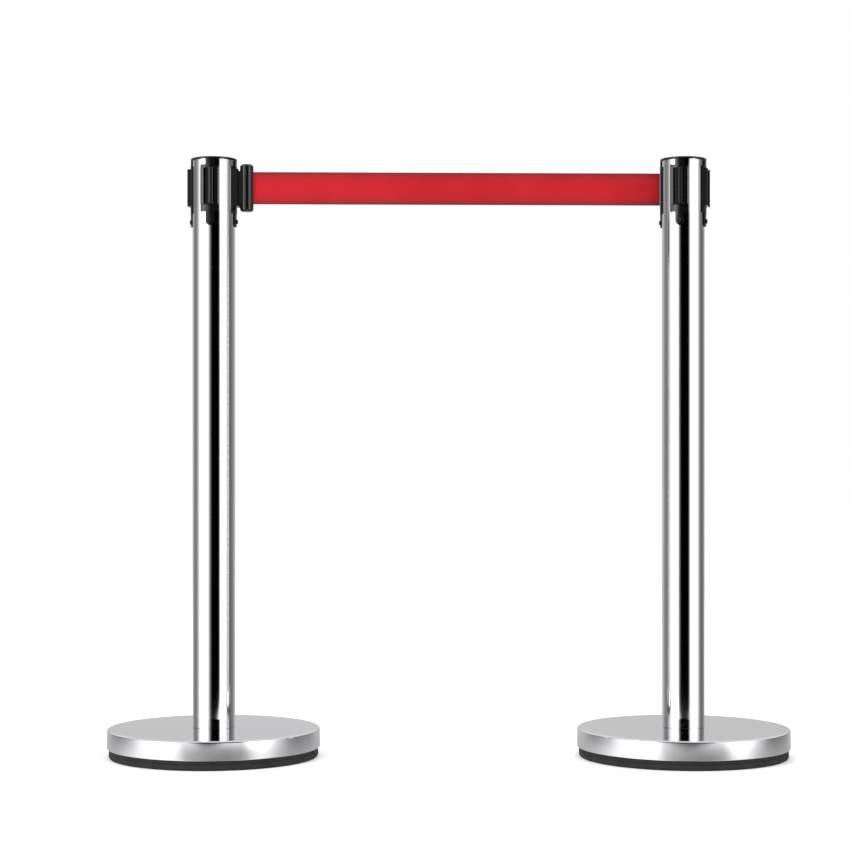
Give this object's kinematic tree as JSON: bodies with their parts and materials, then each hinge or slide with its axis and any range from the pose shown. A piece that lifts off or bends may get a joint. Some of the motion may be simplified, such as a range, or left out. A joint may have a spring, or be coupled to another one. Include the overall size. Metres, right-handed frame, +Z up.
{
  "type": "retractable belt stanchion",
  "caption": "Free-standing polished steel posts on round weighted bases, joined by a retractable red belt whose black clip hooks into the neighbouring post's receiver.",
  "frame": {"origin": "on the floor, midway between the two posts' axes", "axes": "+X from the left post towards the right post, +Y to the back, +Z up"},
  "size_m": [1.016, 0.316, 0.89],
  "materials": {
    "polished_steel": "mirror-polished stainless steel",
    "black_plastic": "moulded, semi-matt",
    "rubber": "matt moulded rubber",
    "red_belt": "woven polyester webbing with firm edges",
    "zinc_steel": "zinc-plated",
    "black_steel": "black oxide",
    "spring_steel": "blued spring strip",
    "cast_iron": "rough cast"
  },
  "bodies": {
    "right_post": {"right_base_cover": "polished_steel", "right_base_ring": "rubber", "right_base_weight": "cast_iron", "right_base_bolt": "zinc_steel", "right_base_washer": "zinc_steel", "right_tube_plug": "zinc_steel", "right_tube": "polished_steel", "right_cap": "black_plastic", "right_cassette_frame": "black_plastic", "right_cassette_lid": "black_plastic", "right_mouth": "black_plastic", "right_axle": "zinc_steel", "right_receiver_front": "black_plastic", "right_screw_front": "black_steel", "right_receiver_outer": "black_plastic", "right_screw_outer": "black_steel", "right_receiver_back": "black_plastic", "right_screw_back": "black_steel", "right_screw_mouth": "black_steel", "right_belt_feed": "red_belt"},
    "left_post": {"left_base_cover": "polished_steel", "left_base_ring": "rubber", "left_base_weight": "cast_iron", "left_base_bolt": "zinc_steel", "left_base_washer": "zinc_steel", "left_tube_plug": "zinc_steel", "left_tube": "polished_steel", "left_cap": "black_plastic", "left_cassette_frame": "black_plastic", "left_cassette_lid": "black_plastic", "left_mouth": "black_plastic", "left_axle": "zinc_steel", "left_receiver_outer": "black_plastic", "left_screw_outer": "black_steel", "left_receiver_front": "black_plastic", "left_screw_front": "black_steel", "left_receiver_inner": "black_plastic", "left_screw_inner": "black_steel", "left_screw_mouth": "black_steel", "left_belt": "red_belt", "right_belt": "red_belt"},
    "right_spool": {"right_spool": "black_plastic", "right_spring_cup": "black_plastic", "right_mainspring": "spring_steel", "right_belt_coil": "red_belt"},
    "left_spool": {"left_spool": "black_plastic", "left_spring_cup": "black_plastic", "left_mainspring": "spring_steel", "left_belt_coil": "red_belt"},
    "right_clip": {"right_clip_body": "black_plastic", "right_clip_cover": "black_plastic", "right_clip_screw_low": "black_steel", "right_clip_screw_high": "black_steel", "right_belt_pin": "zinc_steel"},
    "left_clip": {"left_clip_body": "black_plastic", "left_clip_cover": "black_plastic", "left_clip_screw_low": "black_steel", "left_clip_screw_high": "black_steel", "left_belt_pin": "zinc_steel"}
  },
  "joints": [
    {"name": "post_spacing", "type": "slide", "parent": "right_post", "child": "left_post", "axis": [-0.9997, -0.0256, 0], "range_m": [0, 1.3], "deforming": ["right_belt_feed"]},
    {"name": "belt_retract", "type": "slide", "parent": "left_post", "child": "right_clip", "axis": [0.9997, 0.0256, 0], "range_m": [0, 0.603], "deforming": ["right_belt"]},
    {"name": "left_belt_pull", "type": "slide", "parent": "left_post", "child": "left_clip", "axis": [0.0872, 0.9962, 0], "range_m": [0, 1.9], "stiffness_N_per_m": 2.5, "springref_m": -2.4, "deforming": ["left_belt"]},
    {"name": "right_spool_turn", "type": "hinge", "parent": "right_post", "child": "right_spool", "pos_m": [0.35, 0, 0.846], "axis": [0, 0, 1], "range_deg": [-2000, 0]},
    {"name": "left_spool_turn", "type": "hinge", "parent": "left_post", "child": "left_spool", "pos_m": [-0.35, 0, 0.846], "axis": [0, 0, 1], "range_deg": [0, 8100]}
  ],
  "couplings": [
    {"joint": "right_spool_turn", "follows": "belt_retract", "rad_per_m": -57},
    {"joint": "left_spool_turn", "follows": "left_belt_pull", "rad_per_m": 73.5}
  ]
}
